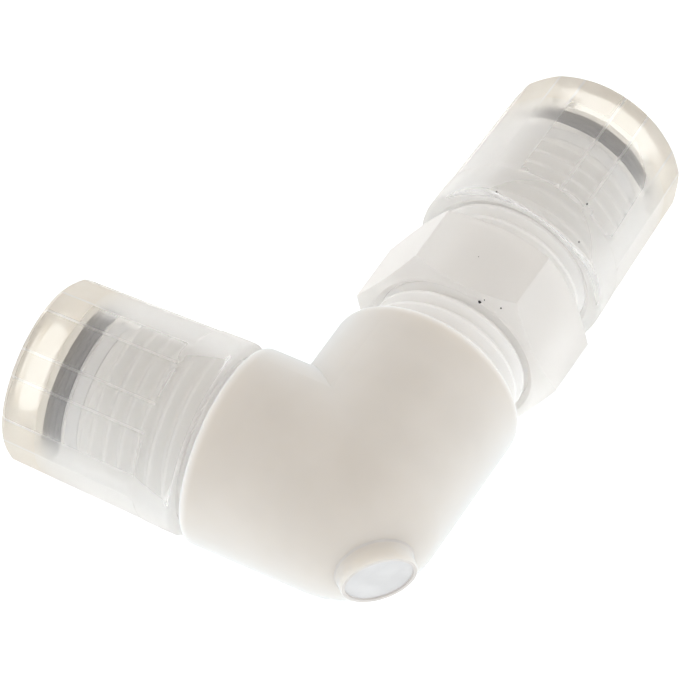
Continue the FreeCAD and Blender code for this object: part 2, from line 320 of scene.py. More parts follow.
# %% A mask that rises along both arms
past, given, result = new_group(
    "past_distance", "ShaderNodeTree",
    {"Vector": (VECTOR, None), "Long Start": (FLOAT, 0.0), "Short Start": (FLOAT, 0.0),
     "Blend": (FLOAT, 0.001)},
    {"Mask": FLOAT})
axes = put(past, "ShaderNodeSeparateXYZ", None, {"Vector": given.outputs["Vector"]})
masks = []
for axis, start in (("X", "Long Start"), ("Y", "Short Start")):
    beyond = calc(past, "SUBTRACT", axes.outputs[axis], given.outputs[start])
    ramp = put(past, "ShaderNodeMapRange", {"interpolation_type": "SMOOTHSTEP"}, {
        "Value": calc(past, "DIVIDE", beyond, given.outputs["Blend"]),
        "From Min": 0.0, "From Max": 1.0})
    masks.append(ramp.outputs["Result"])
past.links.new(calc(past, "MAXIMUM", *masks), result.inputs["Mask"])
print("group:", past.name)


# %% [markdown]
# Every finish starts the same way: Object coordinates, the two groups, a bump, and the
# Principled shader. Only the numbers differ, and what one piece needs more than the others.

# %% Helpers for a plastic
BUMP_HEIGHT = 0.0001
SLANT_FROM = 0.16
SLANT_FULL = 0.58


def group_node(tree, group, inputs):
    """Place a node group in a material with its own values."""
    return put(tree, "ShaderNodeGroup", {"node_tree": group}, inputs)


def tinted(tree, place, colour, beyond):
    """Blend a colour into another one past a distance on each arm."""
    tint, long_start, short_start, blend_length = beyond
    mask = group_node(tree, past, {
        "Vector": place, "Long Start": long_start * MM, "Short Start": short_start * MM,
        "Blend": blend_length * MM})
    mix = put(tree, "ShaderNodeMix", {"data_type": "RGBA"}, {"Factor": mask.outputs["Mask"]})
    tree.links.new(colour, mix.inputs[6])
    mix.inputs[7].default_value = (*tint, 1)
    return mix.outputs[2]


def slant_haze(tree, haze):
    """Roughness that grows where a wall is looked through at a slant, up to haze."""
    slant = put(tree, "ShaderNodeLayerWeight", None, {"Blend": 0.5})
    slanted = put(tree, "ShaderNodeMapRange", {"interpolation_type": "SMOOTHSTEP"}, {
        "Value": slant.outputs["Facing"], "From Min": SLANT_FROM, "From Max": SLANT_FULL,
        "To Max": haze})
    return slanted.outputs["Result"]


# %% [markdown]
# With those helpers, one function makes every plastic of the fitting. It returns the material,
# and the pieces take it later.

# %% One function for every plastic
def plastic(name, thin, thick, cloud_scale, surface, bump, shader_values, beyond=None, haze=0.0):
    """Moulded plastic with drifting colour and an uneven surface.

    beyond is the colour past a distance on each arm, with those two distances and the blend.
    haze is the roughness that a clear wall gains where it is looked through at a slant.
    """
    material = bpy.data.materials.new(name)
    material.use_nodes = True
    tree = material.node_tree
    shader = tree.nodes["Principled BSDF"]
    place = put(tree, "ShaderNodeTexCoord").outputs["Object"]
    colour = group_node(tree, cloudy, {
        "Vector": place, "Scale": cloud_scale, "Thin": (*thin, 1), "Thick": (*thick, 1)})
    skin = group_node(tree, moulded, {"Vector": place, **surface})
    bumps = put(tree, "ShaderNodeBump", None, {
        "Strength": bump, "Distance": BUMP_HEIGHT, "Height": skin.outputs["Height"]})
    drifted = colour.outputs["Color"]
    if beyond:
        drifted = tinted(tree, place, drifted, beyond)
    tree.links.new(drifted, shader.inputs["Base Color"])
    roughness = skin.outputs["Roughness"]
    if haze:
        roughness = calc(tree, "ADD", roughness, slant_haze(tree, haze))
    tree.links.new(roughness, shader.inputs["Roughness"])
    tree.links.new(bumps.outputs["Normal"], shader.inputs["Normal"])
    for key, value in shader_values.items():
        shader.inputs[key].default_value = value
    return material


# %% [markdown]
# The elbow is milky because fine crystals in the plastic scatter light below its surface. A volume
# could do that, but it is slow and grainy, so the shader's subsurface part does it. Sheen stands
# for the light that a skin scatters at a glancing angle. Where the gate was snipped, the plastic
# is torn, so it is rougher and lets less light in. The creases round the cut are painted darker,
# as painted shade.

# %% Finishes of the elbow
PALE_BEFORE = 1.4
MILKY_IOR = 1.45
DEEP_MILK = {"Subsurface Radius": (1.0, 0.9, 0.75), "IOR": MILKY_IOR, "Specular IOR Level": 0.35}
SHALLOW_MILK = {"Subsurface Weight": 0.4, "Subsurface Radius": (1.0, 0.95, 0.9),
                "Subsurface Scale": 0.001, "IOR": MILKY_IOR}
milky_plastic = plastic(
    "milky_plastic", thin=(0.69, 0.65, 0.60), thick=(0.65, 0.61, 0.56), cloud_scale=90.0,
    surface={"Swell": 0.8, "Pits": 0.12, "Roughness": 0.42, "Spread": 0.1}, bump=0.12,
    shader_values={**DEEP_MILK, "Subsurface Weight": 0.6, "Subsurface Scale": 0.004,
                   "Sheen Weight": 0.8, "Sheen Roughness": 0.5,
                   "Sheen Tint": (0.87, 0.94, 1.0, 1.0)},
    beyond=((0.93, 0.922, 0.91), -PALE_BEFORE, SHORT_LEG - PALE_BEFORE, 1.8))
thread_plastic = plastic(
    "thread_plastic", thin=(0.93, 0.922, 0.91), thick=(0.9, 0.892, 0.88), cloud_scale=90.0,
    surface={"Swell": 0.6, "Pits": 0.1, "Roughness": 0.35, "Spread": 0.1}, bump=0.1,
    shader_values={**DEEP_MILK, "Subsurface Weight": 0.1, "Subsurface Scale": 0.002})
cut_plastic = plastic(
    "cut_plastic", thin=(0.69, 0.69, 0.695), thick=(0.62, 0.62, 0.625), cloud_scale=260.0,
    surface={"Swell": 0.6, "Pits": 0.5, "Roughness": 0.5, "Spread": 0.2}, bump=0.25,
    shader_values={**SHALLOW_MILK, "Specular IOR Level": 0.35})
# The crease finish is darker than the skin: painted shade in the creases at the foot of the gate
# stump and round the rim of its dish.
crease_shade_plastic = plastic(
    "crease_shade_plastic", thin=(0.66, 0.635, 0.615), thick=(0.6, 0.575, 0.555), cloud_scale=400.0,
    surface={"Swell": 0.6, "Pits": 0.5, "Roughness": 0.6, "Spread": 0.2}, bump=0.25,
    shader_values={**SHALLOW_MILK, "Specular IOR Level": 0.2})

# %% [markdown]
# The nuts are clear, but not like glass. The facets that face the camera show the thread and the
# dark ring behind them, and at the sides there is only a pale haze. A clear wall scatters more
# light the longer the way through it, so the roughness grows with the slant, and a part of the
# light is scattered back. The solid front wall has a creamier finish of its own.

# %% Finishes of the nuts
CREAM_AFTER = 2.0
CLEAR_IOR = 1.35
WARM_SHEEN = {"Sheen Weight": 0.8, "Sheen Roughness": 0.45, "Sheen Tint": (1.0, 0.965, 0.93, 1.0)}
clear_plastic = plastic(
    "clear_plastic", thin=(1.0, 0.998, 0.99), thick=(0.995, 0.99, 0.98), cloud_scale=70.0,
    surface={"Swell": 0.6, "Pits": 0.02, "Roughness": 0.1, "Spread": 0.0}, bump=0.05,
    shader_values={"Transmission Weight": 0.86, "IOR": CLEAR_IOR, **WARM_SHEEN},
    beyond=((0.91, 0.87, 0.79), long_nut_rear - long_leg + shank_in_nut + CREAM_AFTER,
            short_nut_rear + shank_in_nut + CREAM_AFTER, 3.0), haze=0.45)
# The ridge finish is whiter and rougher: a painted highlight along the ridges, where they catch the
# light.
ridge_highlight_plastic = plastic(
    "ridge_highlight_plastic", thin=(1.0, 0.998, 0.99), thick=(0.96, 0.955, 0.94), cloud_scale=400.0,
    surface={"Swell": 0.4, "Pits": 0.2, "Roughness": 0.3, "Spread": 0.1}, bump=0.1,
    shader_values={"Transmission Weight": 0.8, "IOR": CLEAR_IOR, **WARM_SHEEN})
thick_plastic = plastic(
    "thick_plastic", thin=(0.95, 0.905, 0.835), thick=(0.91, 0.855, 0.77), cloud_scale=200.0,
    surface={"Swell": 0.6, "Pits": 0.1, "Roughness": 0.22, "Spread": 0.0}, bump=0.08,
    shader_values={"Transmission Weight": 0.62, "IOR": CLEAR_IOR}, haze=0.3)
hazy_plastic = plastic(
    "hazy_plastic", thin=(1.0, 0.99, 0.975), thick=(0.985, 0.97, 0.95), cloud_scale=70.0,
    surface={"Swell": 0.6, "Pits": 0.1, "Roughness": 0.4, "Spread": 0.08}, bump=0.1,
    shader_values={"Transmission Weight": 0.58, "IOR": CLEAR_IOR, **WARM_SHEEN,
                   "Sheen Tint": (1.0, 0.97, 0.945, 1.0)})

# %% [markdown]
# Inside each union nut, the ring that bites the tube is of a hard plastic, coloured near black,
# which makes the dark band behind the nuts' facets, and the cone that seals is pale. They show
# only through the clear walls, so plain finishes do.

# %% Finishes of the rings inside
ring_plastic = plastic(
    "ring_plastic", thin=(0.05, 0.047, 0.056), thick=(0.03, 0.029, 0.036), cloud_scale=200.0,
    surface={"Swell": 0.4, "Pits": 0.4, "Roughness": 0.45, "Spread": 0.2}, bump=0.3,
    shader_values={"IOR": 1.5})
seal_plastic = plastic(
    "seal_plastic", thin=(0.86, 0.86, 0.87), thick=(0.8, 0.8, 0.81), cloud_scale=150.0,
    surface={"Swell": 0.5, "Pits": 0.3, "Roughness": 0.4, "Spread": 0.1}, bump=0.2,
    shader_values={"Subsurface Weight": 0.2, "Subsurface Radius": (1.0, 0.9, 0.8),
                   "Subsurface Scale": 0.001, "IOR": MILKY_IOR})
print("finishes:", [m.name for m in bpy.data.materials if m.name.endswith("plastic")])

# %% [markdown]
# ## Threads
# The thread is the part that a CAD stand-in leaves out. It repeats every 2 mm and follows a
# helix, so a Geometry Nodes tree makes it. A flat grid becomes a sleeve: one direction runs
# along the axis and shifts by one pitch for each turn, the other runs round. The radius swings
# between the root and the crest with rounded flanks, as moulded threads have, and fades to a
# plain circle at both ends, so that the rest of a piece can join on. A nut's inner thread is the
# same rule half a pitch later, and very shallow, as a deep one would blur the clear wall.

# %% The thread's sizes
PITCH = 2.0
THREAD_CREST = 10.0
THREAD_ROOT = 8.77
THREAD_GAP = 0.06
THREAD_COLUMNS = 96
ROWS_PER_TURN = 12
THREAD_FLAT = 0.16
INNER_DEPTH = 0.035
print(f"thread {THREAD_CREST - THREAD_ROOT:.2f} mm deep, one turn for each {PITCH:.0f} mm")

# %% The thread's tree
thread_tree, given, result = new_group(
    "thread_sleeve", "GeometryNodeTree",
    {"Rows": ("NodeSocketInt", 10), "Columns": ("NodeSocketInt", THREAD_COLUMNS),
     "Row Step": (FLOAT, PITCH / ROWS_PER_TURN), "Pitch": (FLOAT, PITCH), "Shift": (FLOAT, 0.0),
     "Start": (FLOAT, 0.0), "End": (FLOAT, 10.0), "Base Radius": (FLOAT, THREAD_ROOT),
     "Tip Radius": (FLOAT, THREAD_CREST), "Fade": (FLOAT, 1.0),
     "Material": ("NodeSocketMaterial", None)},
    {"Geometry": "NodeSocketGeometry"})
size = given.outputs


def work_out(operation, *terms):
    """Add a math node to the thread's tree, and return its output."""
    return calc(thread_tree, operation, *terms)


def smooth_step(value, low, high):
    """Map a value to a smooth step from 0 to 1, and return the output."""
    node = put(thread_tree, "ShaderNodeMapRange", {"interpolation_type": "SMOOTHSTEP"}, {
        "Value": value, "From Min": low, "From Max": high})
    return node.outputs["Result"]


round_points = work_out("ADD", size["Columns"], 1.0)
grid = put(thread_tree, "GeometryNodeMeshGrid", None, {
    "Size X": 1.0, "Size Y": 1.0, "Vertices X": size["Rows"], "Vertices Y": round_points})
flat_place = put(thread_tree, "ShaderNodeSeparateXYZ", None, {
    "Vector": put(thread_tree, "GeometryNodeInputPosition").outputs[0]})
share_along = work_out("ADD", flat_place.outputs["X"], 0.5)
share_round = work_out("ADD", flat_place.outputs["Y"], 0.5)
row_count = work_out("SUBTRACT", size["Rows"], 1.0)
row_number = work_out("ROUND", work_out("MULTIPLY", share_along, row_count))
lead = work_out("MULTIPLY", share_round, size["Pitch"])
first_row = work_out("SUBTRACT", size["Start"], size["Pitch"])
row_place = work_out("MULTIPLY", row_number, size["Row Step"])
free_along = work_out("ADD", work_out("ADD", first_row, lead), row_place)
along = work_out("MINIMUM", work_out("MAXIMUM", free_along, size["Start"]), size["End"])
from_helix = work_out("SUBTRACT", work_out("SUBTRACT", along, lead), size["Shift"])
turn_share = work_out("FRACT", work_out("DIVIDE", from_helix, size["Pitch"]))
from_crest = work_out("ABSOLUTE", work_out("SUBTRACT", work_out("MULTIPLY", turn_share, 2.0), 1.0))

# %% [markdown]
# How far a point is from the nearest crest, as a share of half a pitch, decides its radius. A
# smooth step between the crest's flat and the root's gives the rounded flank. Then sine and
# cosine bend the flat grid round the axis.

# %% The thread's radius and place
crest = work_out("SUBTRACT", 1.0, smooth_step(from_crest, THREAD_FLAT, 1 - THREAD_FLAT))
fade_in = smooth_step(work_out("SUBTRACT", along, size["Start"]), 0.0, size["Fade"])
fade_out = smooth_step(work_out("SUBTRACT", size["End"], along), 0.0, size["Fade"])
rise = work_out("MULTIPLY", work_out("MULTIPLY", fade_in, fade_out), crest)
depth = work_out("SUBTRACT", size["Tip Radius"], size["Base Radius"])
radius = work_out("ADD", size["Base Radius"], work_out("MULTIPLY", depth, rise))
angle = work_out("MULTIPLY", share_round, FULL_TURN)
sideways = work_out("MULTIPLY", radius, work_out("SINE", angle))
place = put(thread_tree, "ShaderNodeCombineXYZ", None, {
    "X": along, "Y": work_out("MULTIPLY", sideways, -1.0),
    "Z": work_out("MULTIPLY", radius, work_out("COSINE", angle))})
bent = put(thread_tree, "GeometryNodeSetPosition", None, {
    "Geometry": grid.outputs["Mesh"], "Position": place.outputs[0]})
real = put(thread_tree, "GeometryNodeRealizeInstances", None, {
    "Geometry": bent.outputs["Geometry"]})
dressed = put(thread_tree, "GeometryNodeSetMaterial", None, {
    "Geometry": real.outputs["Geometry"], "Material": size["Material"]})
thread_tree.links.new(dressed.outputs["Geometry"], result.inputs["Geometry"])
print("thread tree:", len(thread_tree.nodes), "nodes")


# %% [markdown]
# The tree runs on an object that exists only for that. Its inputs are set by identifier before
# anything is evaluated, and the result is copied into the skin of the piece that it belongs to,
# with that piece's first finish.

# %% Run the tree into a skin
def add_thread(skin, arm, start, end, inner, material):
    """Add a thread sleeve between two distances along an arm."""
    carrier = bpy.data.objects.new("thread_carrier", bpy.data.meshes.new("thread_carrier"))
    bpy.context.scene.collection.objects.link(carrier)
    modifier = carrier.modifiers.new("thread", "NODES")
    modifier.node_group = thread_tree
    row_step = PITCH / ROWS_PER_TURN
    base = THREAD_CREST + THREAD_GAP if inner else THREAD_ROOT
    tip = base - INNER_DEPTH if inner else THREAD_CREST
    values = {
        "Rows": math.ceil((end - start + PITCH) / row_step) + 1,
        "Start": start, "End": end, "Base Radius": base, "Tip Radius": tip,
        "Shift": PITCH / 2 if inner else 0.0, "Fade": 0.5 * PITCH, "Material": material,
    }
    identifiers = {item.name: item.identifier for item in thread_tree.interface.items_tree}
    for label, value in values.items():
        modifier[identifiers[label]] = value
    seen = carrier.evaluated_get(bpy.context.evaluated_depsgraph_get())
    sleeve = bpy.data.meshes.new_from_object(seen)
    sleeve.transform(arm)
    for face in sleeve.polygons:
        face.material_index = 0
    skin.from_mesh(sleeve)
    carrier.modifiers.remove(modifier)
    bpy.data.objects.remove(carrier)
    bpy.data.meshes.remove(sleeve)


# %% [markdown]
# ## The elbow body
# Outside, two round legs meet in a ball at the outer corner and in a crease at the inner one.
# A boolean could join two cylinders and a ball, but it leaves long thin faces. Here each leg's
# first ring lies on the mitre plane on the inner side, and on a great circle of the ball on the
# outer side. A patch of rows runs from those circles to the gate stump.

# %% Sizes of the body
LEG_COLUMNS = 256
LEG_ROUND = 0.7
THREAD_START_GAP = 0.3
SEAT_MOUTH = 8.2
SOCKET_RADIUS = 6.05
SEAT_HALF_ANGLE = math.radians(25)
SEAT_LENGTH = (SEAT_MOUTH - SOCKET_RADIUS) / math.tan(SEAT_HALF_ANGLE)
SOCKET_LENGTH = 10.0
FLOW_RADIUS = 4.5
SHANK_NOSE = 0.35
leg_angles = even_angles(LEG_COLUMNS)
thread_angles = even_angles(THREAD_COLUMNS)
print(f"conical seat {SEAT_LENGTH:.2f} mm long")


# %% [markdown]
# One function makes either arm, as they differ only in length and in the side that the corner is
# on. It goes the way a tool would run along the plastic: over the leg, round its rim, down the
# shoulder, along the thread, and back in through the conical seat and the tube's socket.

# %% One leg with its shank and passage
def inward(side, radius):
    """Distance along an arm of the mitre plane. side is 1 on the long arm, -1 on the short."""
    def along(angle):
        return -side * radius * math.sin(angle)
    return along


def add_leg(skin, arm, side, length, shank_end):
    """Add one arm of the body, from the corner to the shank's mouth and back inside."""
    mitre = inward(side, leg_radius)
    rows = [ring(arm, leg_angles, lambda angle: max(0.0, mitre(angle)), leg_radius)]
    corner = arc(length - LEG_ROUND, leg_radius - LEG_ROUND, LEG_ROUND, QUARTER, 0, 6)
    rows += [ring(arm, leg_angles, place, size) for place, size in corner]
    shoulder = add_rings(skin, rows)[-1]
    groove = add_rings(skin, [
        ring(arm, thread_angles, length, THREAD_ROOT),
        ring(arm, thread_angles, length + THREAD_START_GAP, THREAD_ROOT)])[0]
    zip_rows(skin, shoulder, leg_angles, groove, thread_angles)
    nose_start = shank_end - SHANK_NOSE
    add_thread(skin, arm, length + THREAD_START_GAP, nose_start, False, milky_plastic)
    seat_start = shank_end - SEAT_LENGTH
    socket_start = seat_start - SOCKET_LENGTH
    inside = arc(nose_start, THREAD_ROOT - SHANK_NOSE, SHANK_NOSE, QUARTER, 0, 4)
    inside += [(shank_end, SEAT_MOUTH), (seat_start, SOCKET_RADIUS),
               (socket_start, SOCKET_RADIUS), (socket_start, FLOW_RADIUS)]
    rows = [ring(arm, thread_angles, place, size) for place, size in inside]
    rows.append(ring(arm, thread_angles, inward(side, FLOW_RADIUS), FLOW_RADIUS))
    add_rings(skin, rows)


# %% [markdown]
# The gate stump is where the mould was filled and the runner was snipped off. It is a short
# round post with a slanted, flat face, longer on top. The patch's rows start on the legs' great
# circles, run over the ball towards the post, curve up its wall in a small fillet, round its
# edge, step down into the shallow dish that the cut left and close at its middle.

# %% Sizes of the gate stump
GATE_RADIUS = 4.65
GATE_REACH = 13.5
GATE_SLANT = math.tan(math.radians(9.5))
GATE_FILLET = 0.25
GATE_FLOOR = 4.08
GATE_DISH = 0.3
BALL_ROWS = 20
STUMP_WALL = [(0.2, 0.03), (0.1, 0.08), (0.02, 0.18), (0.0, 0.3), (0.0, 0.6),
              (0.0, 0.86), (-0.05, 0.94), (-0.14, 0.985), (-0.3, 1.0), (-0.5, 0.98)]
DISH_RADII = (GATE_FLOOR, 3.0, 1.8, 0.8, 0.0)
UP = Vector((0, 0, 1))
gate_axis = Vector((-1, -1, 0)).normalized()
gate_foot = math.sqrt(leg_radius ** 2 - GATE_RADIUS ** 2)
print(f"gate stump {2 * GATE_RADIUS:.1f} mm across, {GATE_REACH - gate_foot:.1f} mm high")


# %% The gate stump and the ball's outer quarter
def stump_column(direction):
    """Points up the stump's wall, over its edge and in to its middle, on one side of it."""
    points = []
    wall = GATE_REACH + GATE_RADIUS * GATE_SLANT * direction.dot(UP) - gate_foot
    for flare, share in STUMP_WALL:
        size = GATE_RADIUS + flare
        lift = math.sqrt(leg_radius ** 2 - size ** 2) if flare > 0 else gate_foot
        height = lift + (gate_foot - lift + wall) * share
        points.append(gate_axis * height + direction * size)
    for size in DISH_RADII:
        height = GATE_REACH - GATE_DISH + size * GATE_SLANT * direction.dot(UP)
        points.append(gate_axis * height + direction * size)
    return points


def add_corner(skin):
    """Add the ball's outer quarter, with the gate stump growing out of it."""
    outer_half = leg_angles[:LEG_COLUMNS // 2 + 1]
    edge = [Vector((0, -math.sin(angle), math.cos(angle))) for angle in outer_half]
    other = [Vector((-math.sin(angle), 0, math.cos(angle))) for angle in outer_half]
    edge += other[-2:0:-1]
    fillet_spread = math.asin((GATE_RADIUS + GATE_FILLET) / leg_radius)
    columns = []
    for outwards in edge:
        spread = math.acos(outwards.dot(gate_axis))
        direction = (outwards - gate_axis * outwards.dot(gate_axis)).normalized()
        column = []
        for number in range(BALL_ROWS + 1):
            turn = spread + (fillet_spread - spread) * number / BALL_ROWS
            column.append(leg_radius * (math.cos(turn) * gate_axis + math.sin(turn) * direction))
        columns.append([crossing + point for point in column + stump_column(direction)])
    add_rings(skin, list(zip(*columns)))


# %% [markdown]
# The body is one moulding, so it stays one mesh, and its faces choose among four finishes by
# where their middles lie. The cut face is whiter than the moulded skin, and the creases round it
# are painted darker, as painted shade. The threaded shanks have the fourth finish, which scatters
# less, so that the thread stays crisp.

# %% Mark the body's finishes
CUT_FINISH = 1
CREASE_SHADE_FINISH = 2
SHANK_FINISH = 3
PAST_END = 0.01
GATE_RIM = 0.2
CUT_SLACK = 0.1
CREASE_BELOW = 0.4
CREASE_ABOVE = 0.15


def mark_shanks(skin):
    """Give the threads and all that lies past the legs' ends the fourth material."""
    ends = [(LONG_ARM.inverted(), long_leg), (SHORT_ARM.inverted(), SHORT_LEG)]
    for face in skin.faces:
        middle = face.calc_center_median()
        if any((to_arm @ middle).x > length + PAST_END for to_arm, length in ends):
            face.material_index = SHANK_FINISH


def mark_gate(skin):
    """Give the cut face of the gate stump the second material, and its creases the third, a painted
    shade.
    """
    for face in skin.faces:
        place = face.calc_center_median() - crossing
        height = place.dot(gate_axis)
        across = place - gate_axis * height
        slant = height - across.dot(UP) * GATE_SLANT
        if across.length > GATE_RADIUS + GATE_FILLET or height < gate_foot - CREASE_BELOW:
            continue
        # The dish's rim and the stump's foot take the darker crease finish, which is painted shade.
        if slant > GATE_REACH - GATE_DISH - CUT_SLACK and across.length < GATE_RADIUS - GATE_RIM:
            on_rim = across.length > GATE_FLOOR
            face.material_index = CREASE_SHADE_FINISH if on_rim else CUT_FINISH
        elif height < gate_foot + CREASE_ABOVE:
            face.material_index = CREASE_SHADE_FINISH


# %% Build the body
skin = bmesh.new()
add_leg(skin, LONG_ARM, 1, long_leg, long_shank_end)
add_leg(skin, SHORT_ARM, -1, SHORT_LEG, short_shank_end)
add_corner(skin)
mark_shanks(skin)
mark_gate(skin)
elbow = finished(skin, "elbow_body_moulded", milky_plastic, cut_plastic, crease_shade_plastic,
                 thread_plastic)
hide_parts("elbow_body")
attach(elbow, "fitting")

# %% [markdown]
# ## The union nuts
# Each nut is one clear moulding: a round collar, a tapered body with sixteen facets that are
# wide and narrow by turns, and a chamfer at the front. Its outside is a skin with columns
# crowded at the ridges, so that each ridge is slightly rounded and each facet stays flat. The
# inside is a thread, the cavity for the ring, and the hole for the tube.

# %% Sizes of the union nut
NUT_REAR = 12.2
NUT_FRONT = 11.6
NARROW_HALF = math.radians(8.75)
WIDE_HALF = math.radians(13.75)
PAIR = math.radians(45)
COLLAR = 4.9
COLLAR_ROUND = 0.7
FRONT_CHAMFER = 0.8
INNER_GAP = 0.05
THREAD_PAST_SHANK = 1.2
NUT_THREAD_END = shank_in_nut + THREAD_PAST_SHANK
CAVITY = 8.92
CAVITY_END = ring_end + INNER_GAP
CONE_LENGTH = 1.6
CONE_START = CAVITY_END - CONE_LENGTH
CONE_END = 7.3
TUBE_HOLE = 6.2
MOUTH_CHAMFER = 0.6
print(f"nut's thread to {NUT_THREAD_END:.2f}, cavity to {CAVITY_END:.2f} mm from its rear")


# %% [markdown]
# A facet's radius at an angle is its middle's radius over the cosine of the way round from there,
# and the least over all facets is the outline. Taking that least softly rounds each ridge a
# little, as in a mould. The columns are crowded where the outline bends, and few between.

# %% Ridges and facets
RIDGE_STEPS = [math.radians(v) for v in (-2.6, -1.7, -0.8, 0, 0.8, 1.7, 2.6)]
FACET_STEP = math.radians(3)


def soft_least(values, sharpness):
    """The least of some values, with the corner between them slightly rounded."""
    least = min(values)
    return least - math.log(sum(math.exp(sharpness * (least - v)) for v in values)) / sharpness


def crowded_angles(ridges):
    """Angles of a faceted skin's columns: close together at each ridge, spread between."""
    angles = []
    for number, ridge in enumerate(ridges):
        is_last = number + 1 == len(ridges)
        after = ridges[0] + FULL_TURN if is_last else ridges[number + 1]
        angles += [ridge + step for step in RIDGE_STEPS]
        gap = after - ridge - 2 * RIDGE_STEPS[-1]
        count = round(gap / FACET_STEP)
        angles += [ridge + RIDGE_STEPS[-1] + gap * (n + 1) / count for n in range(count - 1)]
    return sorted(angle % FULL_TURN for angle in angles)


def facet_radius(middles, edge_radius, angle, sharpness):
    """Radius of a faceted outline at an angle. middles pairs each facet's middle and half width."""
    near = []
    for middle, half in middles:
        away = (angle - middle + math.pi) % FULL_TURN - math.pi
        if abs(away) < QUARTER / 2:
            near.append(edge_radius * math.cos(half) / math.cos(away))
    return soft_least(near, sharpness)


# %% [markdown]
# Outside, the collar is round and turns into the tapered facets at its front edge. The lines
# where the facets meet the collar and the front chamfer are curved, since flats cut round
# surfaces there. So those rows move along the nut with the angle.

# %% The outside of a union nut
NUT_SHARPNESS = 28.0
THICK_SHARE = 0.76
FACET_SHARES = (0.0, 0.05, 0.3, 0.55, THICK_SHARE, 0.95, 1.0)
REAR_FACE = 1.2
PAST_COLLAR = 0.3
BEFORE_FRONT = 0.5
EDGE_BEFORE = 0.06
EDGE_AFTER = 0.08


def add_nut_outside(skin, arm, rear, middles, columns):
    """Add a union nut's collar, facets and front chamfer, and return their rows of corners."""
    def edge_at(along):
        return NUT_REAR + (NUT_FRONT - NUT_REAR) * along / nut_length

    def facet_at(along, angle):
        return facet_radius(middles, edge_at(along), angle, NUT_SHARPNESS)

    collar_radius = edge_at(COLLAR)

    def collar_meets(angle):
        return COLLAR + max(0.0, collar_radius - facet_at(COLLAR + PAST_COLLAR, angle))

    def chamfer_meets(angle):
        facet = facet_at(nut_length - BEFORE_FRONT, angle)
        return nut_length - FRONT_CHAMFER + NUT_FRONT - facet

    rows = [(0.0, NUT_REAR - REAR_FACE)]
    rows += arc(COLLAR_ROUND, NUT_REAR - COLLAR_ROUND, COLLAR_ROUND, math.pi, QUARTER, 5)
    rows += [(COLLAR * 0.5, NUT_REAR - 0.02), (COLLAR - 0.2, collar_radius + 0.02),
             (COLLAR - 0.06, collar_radius - 0.02)]
    rings = [ring(arm, columns, rear + place, size) for place, size in rows]
    for share in FACET_SHARES:
        def along(angle, share=share):
            start = collar_meets(angle)
            return start + (chamfer_meets(angle) - start) * share

        rings.append(ring(arm, columns, lambda angle: rear + along(angle),
                          lambda angle: facet_at(along(angle), angle)))
    front = rear + nut_length
    face_edge = NUT_FRONT - FRONT_CHAMFER
    rings.append(ring(arm, columns, front - EDGE_BEFORE, face_edge + EDGE_BEFORE))
    rings.append(ring(arm, columns, front, face_edge - EDGE_AFTER))
    return add_rings(skin, rings)


# %% [markdown]
# Inside, from the rear, come the thread, the cavity for the ring, the cone that squeezes the
# ring on the tube when the nut is turned, and the hole for the tube.

# %% The inside of a union nut
BORE = THREAD_CREST + THREAD_GAP


def add_nut_inside(skin, arm, rear, material):
    """Add a union nut's thread, cavity, cone and tube hole, and return its end rows."""
    mouth = add_rings(skin, [
        ring(arm, thread_angles, rear, BORE + MOUTH_CHAMFER),
        ring(arm, thread_angles, rear + MOUTH_CHAMFER, BORE)])
    add_thread(skin, arm, rear + MOUTH_CHAMFER, rear + NUT_THREAD_END, True, material)
    inside = [(NUT_THREAD_END, BORE), (NUT_THREAD_END + 0.25, CAVITY),
              (CONE_START, CAVITY), (CAVITY_END - 0.05, CONE_END + 0.05),
              (CAVITY_END, CONE_END - 0.1), (CAVITY_END, TUBE_HOLE + 0.1),
              (CAVITY_END + 0.1, TUBE_HOLE), (nut_length - MOUTH_CHAMFER, TUBE_HOLE),
              (nut_length, TUBE_HOLE + MOUTH_CHAMFER)]
    hole = add_rings(skin, [ring(arm, thread_angles, rear + along, size)
                            for along, size in inside])
    return mouth[0], hole[-1]


# %% [markdown]
# Narrow strips along a nut's ridges are whiter and rougher, a painted highlight where the
# rounded ridges catch the light. Its front is solid plastic, which is creamier than the skirt. So
# its faces choose among three finishes.

# %% Mark the nut's finishes
RIDGE_HIGHLIGHT_FINISH = 1
THICK_FINISH = 2
RIDGE_HIGHLIGHT_HALF = math.radians(1.0)
RIDGE_HIGHLIGHT_START = COLLAR + PAST_COLLAR
RIDGE_HIGHLIGHT_LOWEST = NUT_FRONT - FRONT_CHAMFER - 0.3
THICK_START = 18.3


def mark_finishes(skin, to_arm, rear, ridges):
    """Give the nut's solid front the third material, and the faces along ridges the second: a painted
    highlight.
    """
    for face in skin.faces:
        middle = to_arm @ face.calc_center_median()
        radius = math.hypot(middle.y, middle.z)
        if middle.x > rear + THICK_START and radius > TUBE_HOLE + MOUTH_CHAMFER / 2:
            face.material_index = THICK_FINISH
        if middle.x < rear + RIDGE_HIGHLIGHT_START or radius < RIDGE_HIGHLIGHT_LOWEST:
            continue
        angle = math.atan2(-middle.y, middle.z)
        away = min(abs((angle - ridge + math.pi) % FULL_TURN - math.pi) for ridge in ridges)
        # Faces close to a ridge take the painted highlight.
        if away < RIDGE_HIGHLIGHT_HALF:
            face.material_index = RIDGE_HIGHLIGHT_FINISH


